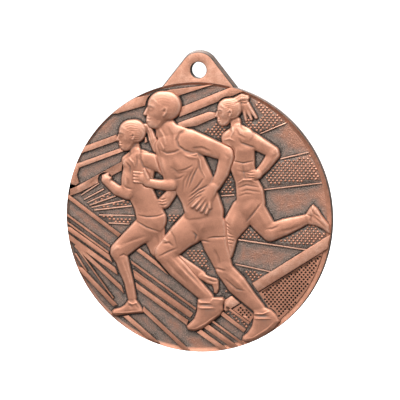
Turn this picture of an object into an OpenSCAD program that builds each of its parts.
// Round finisher medal: a cast disc with a hanging lug, three runners in relief
// and a background of beams, rays, studded panels and track lanes.
// The model is drawn flat, face up, about the middle of the disc, and then hung
// upright: +Z is up, the face looks along -Y, and the origin is the middle of
// the lug's hole.

/* [Disc] */
// Diameter of the disc
disc_d = 50; // [40:1:70]
// Thickness of the plain disc, from its back to the field
field_t = 1.5; // [1.3:0.1:2.5]
// Height of the rim border above the field
rim_h = 0.4; // [0.3:0.1:1]
// Width of the rim border where it is widest
rim_wide = 1; // [0.6:0.1:3]
// Width of the rim border opposite, where it is narrowest
rim_narrow = 0.3; // [0.3:0.1:0.9]
// Direction of the widest border, from the right and upwards
rim_turn = -25; // [-90:5:90]
// Chamfer round the edges of the disc
edge_chamfer = 0.2; // [0.1:0.05:0.3]

/* [Lug] */
// Diameter of the hanging hole
hole_d = 3; // [2:0.5:4]
// Radius of the rounded top of the lug, about the hole
lug_r = 3.6; // [2.8:0.1:4.5]
// Height of the hole above the edge of the disc
hole_rise = 2.2; // [2:0.1:4]
// Slope of the lug's straight sides, from the vertical
lug_flare = 38.5; // [20:0.5:45]
// Thickness of the lug
lug_t = 1.8; // [1.6:0.1:2.5]

/* [Relief] */
// Turn of the whole drawn scene against the lug, in degrees
art_turn = 0.8; // [-5:0.1:5]
// Height of the drawn scene against its width
art_squeeze = 0.987; // [0.95:0.001:1.05]
// Height of the middle runner above the field
front_figure_h = 1.5; // [1:0.1:2]
// Height of the two outer runners above the field
back_figure_h = 1.2; // [0.8:0.1:1.8]
// Height of the beams, the cross bar and the lanes above the field
bar_h = 0.5; // [0.3:0.1:0.8]
// Height of the thin rays above the field
ray_h = 0.3; // [0.2:0.05:0.5]
// Width of a thin ray
ray_w = 0.22; // [0.15:0.01:0.5]
// Height of the studded panels above the field
stud_h = 0.16; // [0.1:0.02:0.3]
// Height of the perforated panel above the field
perforated_h = 0.26; // [0.15:0.01:0.4]
// Sunk line between a runner and the background round it
outline_gap = 0.3; // [0.1:0.05:0.5]

/* [Back] */
// Diameter of the engraving plate
plate_d = 25; // [15:1:30]
// Thickness of the engraving plate
plate_t = 0.5; // [0.3:0.1:0.6]
// Thickness of the adhesive film under the plate
film_t = 0.1; // [0.05:0.05:0.2]
// Gap between the plate and the wall of its recess
plate_gap = 0.2; // [0.1:0.05:0.4]

/* [Hidden] */

disc_r = disc_d / 2;
hole_y = disc_r + hole_rise;
// The runners and the background are drawn for a disc of this diameter.
drawn_d = 50;
art = disc_d / drawn_d;
round_fn = 96;
limb_fn = 24;

// A limb is [x, y, radius] at one end and at the other, from head to feet.
LEFT_LIMBS = [
  [[-12.6, 15.9, 2.4], [-12.3, 14.7, 2.2]],
  [[-10.6, 17, 0.9], [-8.9, 16.2, 0.8]],
  [[-8.9, 16.2, 0.8], [-8.1, 12.9, 0.5]],
  [[-11.6, 14, 1.2], [-11, 11.5, 1.5]],
  [[-10.5, 9.4, 3], [-11.2, 6.6, 2.7]],
  [[-11.2, 6.6, 2.7], [-9.8, 2.6, 2.4]],
  [[-9.8, 2.6, 2.4], [-8.8, -0.6, 2.8]],
  [[-12.6, 9.4, 1.4], [-13.2, 4.5, 1.3]],
  [[-13.2, 4.5, 1.3], [-17, 6.6, 0.9]],
  [[-17, 6.6, 0.9], [-17.5, 7, 1.1]],
  [[-4.8, 5, 1.1], [-6.5, 2.9, 1.1]],
  [[-9.3, -1.5, 2.8], [-12, -3.7, 2]],
  [[-12, -3.7, 2], [-15.2, -6.6, 1.6]],
  [[-15.2, -6.6, 1.6], [-14.1, -9.8, 1.3]],
  [[-14.1, -9.8, 1.3], [-12.7, -15.4, 0.9]],
  [[-12, -17, 1.1], [-15.9, -17.9, 0.8]],
  [[-8.6, -2.6, 2.4], [-7.8, -6, 1.6]],
  [[-7.8, -6, 1.6], [0.9, -11, 0.8]],
  [[0.9, -11, 0.7], [2.9, -11.9, 0.9]],
  [[2.9, -11.9, 0.9], [3.1, -12.7, 0.6]]
];

MIDDLE_LIMBS = [
  [[-6.5, 20.7, 2.9], [-6.1, 19.4, 2.6]],
  [[-5.6, 17.4, 1.7], [-5, 14.8, 2]],
  [[-5.6, 13.2, 2.4], [-0.8, 13.6, 2.2]],
  [[-3.6, 12.4, 3.2], [-1.7, 8.6, 4]],
  [[-1.7, 8.6, 4], [0.2, 4.6, 3.6]],
  [[0.2, 4.6, 3.6], [1.2, 0.8, 3.7]],
  [[-6.2, 12.6, 1.6], [-4.8, 6.2, 1.2]],
  [[-4.8, 6.2, 1.2], [-9.4, 6.5, 0.9]],
  [[-9.4, 6.5, 0.9], [-11, 7.5, 1]],
  [[0, 13.9, 2], [5.6, 12, 1.4]],
  [[5.6, 11.6, 1.4], [3.4, 6, 0.9]],
  [[3.4, 6, 0.9], [1.2, 2.9, 1.3]],
  [[0.6, -0.9, 3.2], [-3, -3.2, 2.5]],
  [[-3, -3.2, 2.5], [-6.4, -6.7, 2]],
  [[-6.4, -6.7, 2], [-3.8, -9.8, 1.9]],
  [[-3.8, -9.8, 1.9], [1.6, -15, 1.4]],
  [[2.4, -16.6, 2], [-1, -20.3, 1.1]],
  [[2.2, -1.8, 2.8], [3.4, -6, 2.2]],
  [[3.4, -6, 2.2], [5, -10.3, 2]],
  [[5, -10.3, 2], [7.7, -13, 2]],
  [[7.7, -13, 2], [11.3, -17, 1.3]],
  [[12.5, -18.9, 1.9], [9.4, -22.2, 1]]
];

RIGHT_LIMBS = [
  [[6, 20.2, 2.2], [6.2, 19.2, 2]],
  [[7.6, 21.4, 1], [9, 22.4, 0.8]],
  [[9, 22.4, 0.8], [10.7, 19.1, 0.9]],
  [[7.2, 18, 1.3], [7.6, 16, 1.7]],
  [[7.5, 14, 2.9], [8.8, 8, 2.1]],
  [[8.8, 8, 2.1], [9.9, 3.6, 2.7]],
  [[9.9, 14.7, 1.6], [14.2, 12.3, 1.2]],
  [[14.2, 11.9, 1.3], [11.3, 8.2, 0.9]],
  [[9.6, 2.6, 2.7], [8, 0.8, 2.5]],
  [[8, 0.8, 2.5], [5.7, -3, 1.7]],
  [[5.7, -3, 1.7], [4.9, -6.6, 1.5]],
  [[10.2, 1.8, 2.5], [13.5, -2.7, 1.7]],
  [[13.5, -2.7, 1.7], [16.5, -1.6, 1.5]],
  [[16.5, -1.6, 1.5], [20.4, 0, 0.9]],
  [[21.5, 1, 1.1], [23.9, -1.9, 0.6]]
];

// Outlines of the beams that cross behind the heads, and the brown slope beside them.
BEAMS = [
  [[-16.2, 19.4], [-12.8, 22.1], [-9.5, 22.8], [-4.8, 23.9], [3.2, 24.9], [-4.3, 22.5], [-9.5, 21],
   [-15, 19.4]],
  [[-21.4, 13.2], [-14.8, 15.6], [-3.3, 20.5], [5.8, 24.1], [8.4, 23.5], [4.2, 21.8],
   [-3.3, 18.8], [-14.6, 14.5], [-22, 11.9]],
  [[-23, 9.9], [-14.3, 13], [-3, 17.9], [2.3, 19.8], [3.6, 19.6], [3.8, 18.9], [0, 17.2],
   [-2.2, 16.9], [-14.1, 12.3], [-22.4, 9.2], [-22.9, 7.8], [-22.5, 6.3], [-23.6, 5.6], [-24.4, 7]],
  [[-24.2, 5.2], [-22.7, 5.8], [-13.2, 11], [-13.6, 9.1], [-22.3, 4.6], [-24.2, 3.9]]
];

// Each lane of the track is [start, end, width].
LANES = [
  [[-24.8, 3.9], [9.6, -22.05], 0.7],
  [[-24.8, 0.2], [8.6, -24], 0.35],
  [[-24.8, -1.2], [8, -24.9], 0.3],
  [[-24.6, -2.3], [7.4, -24.9], 0.8],
  [[-24.6, -3.9], [4.9, -25], 0.85],
  [[-23.4, -5.4], [-2.6, -24.9], 0.7],
  [[-22.9, -6.2], [-16.3, -15.4], 0.25],
  [[-23.4, -7], [-21.3, -10.4], 0.25],
  [[-22.4, -10], [-15, -17.8], 0.8],
  [[-15.1, -17.7], [-8.2, -23.8], 0.8],
  [[5, -16.7], [10.4, -20.6], 0.4]
];

// Each ray is [start, end].
RAYS = [
  [[10.8, 15.3], [17.6, 18.2]],
  [[14.4, 10.8], [22, 12.6]],
  [[11.8, 5.2], [24.6, 6.8]],
  [[3.6, 4], [7.4, 4.3]],
  [[6.6, -4], [24.6, -6.5]],
  [[5.8, -8.5], [14, -10.2]],
  [[-22.2, 4], [-18.2, 6.6]],
  [[-21.6, 3.2], [-17.8, 5.2]],
  [[-21, 2.6], [-16.6, 4.6]],
  [[-20.6, 2.1], [-15.6, 3.9]],
  [[-20.2, 1.7], [-12.6, 3.4]],
  [[-19.7, 1.2], [-12.2, 2.1]],
  [[-18.8, 0.3], [-11.9, 0.2]],
  [[-17, -1.2], [-12.6, -1.4]]
];

// The cross bar that passes behind the legs, as [start, end, width].
CROSS_BAR = [[4.4, -16.9], [24.9, -4], 2];

// Outlines of the studded fields between the rays.
STUD_FIELDS = [
  [[9.4, 15], [17.4, 18.4], [14, 21.5], [9, 23.2], [4.5, 20]],
  [[13, 6], [24, 7.3], [21.8, 12], [12, 10]],
  [[6.6, -3.6], [24.2, -5.8], [24.6, -0.4], [20, -0.4], [12.5, -2.5], [9, -1]],
  [[5.8, -9], [13.4, -10.6], [8, -13.8], [4, -14.4]],
  [[3.6, 4.4], [7.2, 4.7], [6.6, 9], [3.4, 7]],
  [[0, 15.6], [5, 18.4], [6.4, 17], [4.6, 14]],
  [[-3, -6], [0.6, -6], [3, -9.2], [0.4, -11]],
  [[-20.2, 1.7], [-12.4, 3.4], [-12.2, 2.1], [-19.7, 1.2]],
  [[-18.6, 0.2], [-11.6, 0], [-12.2, -1.3], [-16.8, -1.1]],
  [[-21, 2.6], [-16.6, 4.6], [-15.6, 3.9], [-20.6, 2.1]],
  [[5.2, -17.2], [10.2, -20.8], [9.6, -21.6], [4.8, -17.9]],
  [[-8.4, 5.2], [-5.2, 5], [-6.2, 3.4], [-7.8, 3]],
  [[-5.8, 0.4], [-3, 0.8], [-6.2, -2.8]],
  [[-10.6, -5.2], [-8.2, -5.2], [-8.2, -7.4]],
  [[-8.2, 9], [-5.4, 7.4], [-8.4, 7]]
];

// Outline of the perforated panel under the cross bar.
PERFORATED = [[6.2, -17.2], [24.9, -5.3], [24.2, -9.5], [20.4, -15], [16, -19], [10.4, -20.2]];

// ---- helpers ----

// Hangs a flat, face-up shape upright, with the hole's middle at the origin.
module hung() {
  translate([0, lug_t / 2, -hole_y]) rotate([90, 0, 0]) children();
}

// A flat strip of width w from point p to point q.
module strip(p, q, w) {
  along = q - p;
  side = [-along.y, along.x] / norm(along) * w / 2;
  polygon([p + side, p - side, q - side, q + side]);
}

// A flat limb that tapers between two round ends.
module limb(ends) {
  hull() for (end = ends)
    translate([end.x, end.y]) circle(end[2], $fn = limb_fn);
}

// Lays what is drawn in the tables above on the disc.
module drawn() {
  rotate(art_turn) scale([art, art * art_squeeze]) children();
}

// The flat outline of a runner.
module figure(limbs) {
  drawn() for (ends = limbs) limb(ends);
}

// The round area inside the rim border, set off from the middle of the disc.
module inside_rim() {
  rotate(rim_turn) translate([(rim_narrow - rim_wide) / 2, 0])
    circle(disc_r - (rim_narrow + rim_wide) / 2, $fn = round_fn);
}

// Background relief, cut to the rim and kept clear of the runners.
module background(height) {
  hung() translate([0, 0, field_t]) linear_extrude(height) difference() {
    intersection() {
      drawn() children();
      inside_rim();
    }
    offset(r = outline_gap, $fn = limb_fn) {
      figure(LEFT_LIMBS);
      figure(MIDDLE_LIMBS);
      figure(RIGHT_LIMBS);
    }
  }
}

// A runner, standing on the field and kept inside the edge of the disc.
module standing(limbs, height) {
  hung() translate([0, 0, field_t]) linear_extrude(height) difference() {
    intersection() {
      figure(limbs);
      circle(disc_r - edge_chamfer, $fn = round_fn);
    }
    children();
  }
}

// ---- the casting ----

module disc_blank() {
  recess_r = plate_d / 2 + plate_gap;
  recess_t = plate_t + film_t;
  color("peru") hung() rotate_extrude($fn = round_fn) polygon([
    [0, recess_t], [recess_r, recess_t], [recess_r, 0],
    [disc_r - edge_chamfer, 0], [disc_r, edge_chamfer],
    [disc_r, field_t], [0, field_t]
  ]);
}

module suspension_lug() {
  // The straight sides leave the rounded top along a tangent and run into the disc.
  touch = lug_r * [cos(lug_flare), sin(lug_flare)];
  foot = touch + [sin(lug_flare), -cos(lug_flare)] * 1.4 * (hole_rise + lug_r);
  color("sandybrown") hung() difference() {
    linear_extrude(lug_t) translate([0, hole_y]) hull() {
      circle(lug_r, $fn = round_fn);
      polygon([[0, 0], foot, [-foot.x, foot.y]]);
    }
    translate([0, 0, -1]) cylinder(r = disc_r, h = lug_t + 2, $fn = round_fn);
    translate([0, hole_y, -1]) cylinder(d = hole_d, h = lug_t + 2, $fn = round_fn);
  }
}

module rim_border() {
  color("chocolate") hung() translate([0, 0, field_t]) linear_extrude(rim_h) difference() {
    circle(disc_r, $fn = round_fn);
    inside_rim();
    figure(LEFT_LIMBS);
    figure(MIDDLE_LIMBS);
    figure(RIGHT_LIMBS);
  }
}

module runner_left() {
  color("rosybrown") standing(LEFT_LIMBS, back_figure_h) figure(MIDDLE_LIMBS);
}

module runner_middle() {
  color("darksalmon") standing(MIDDLE_LIMBS, front_figure_h);
}

module runner_right() {
  color("indianred") standing(RIGHT_LIMBS, back_figure_h) figure(MIDDLE_LIMBS);
}

module upper_beams() {
  color("burlywood") background(bar_h) for (beam = BEAMS) polygon(beam);
}

module track_lanes() {
  color("tan") background(bar_h) for (lane = LANES) strip(lane[0], lane[1], lane[2]);
}

module cross_bar() {
  color("sandybrown") background(bar_h) strip(CROSS_BAR[0], CROSS_BAR[1], CROSS_BAR[2]);
}

module ray_ridges() {
  color("goldenrod") background(ray_h) for (ray = RAYS) strip(ray[0], ray[1], ray_w);
}

module stud_panels() {
  color("sienna") background(stud_h) difference() {
    for (field = STUD_FIELDS) polygon(field);
    for (ray = RAYS) strip(ray[0], ray[1], ray_w);
    for (beam = BEAMS) polygon(beam);
    strip(CROSS_BAR[0], CROSS_BAR[1], CROSS_BAR[2]);
  }
}

module perforated_panel() {
  color("saddlebrown") background(perforated_h) difference() {
    polygon(PERFORATED);
    strip(CROSS_BAR[0], CROSS_BAR[1], CROSS_BAR[2]);
    for (lane = LANES) strip(lane[0], lane[1], lane[2]);
  }
}

// ---- the plate in the back ----

module engraving_plate() {
  color("silver") hung() cylinder(d = plate_d, h = plate_t, $fn = round_fn);
}

module plate_adhesive() {
  color("whitesmoke") hung() translate([0, 0, plate_t])
    cylinder(d = plate_d, h = film_t, $fn = round_fn);
}

disc_blank();
suspension_lug();
rim_border();
runner_left();
runner_middle();
runner_right();
upper_beams();
track_lanes();
cross_bar();
ray_ridges();
stud_panels();
perforated_panel();
engraving_plate();
plate_adhesive();
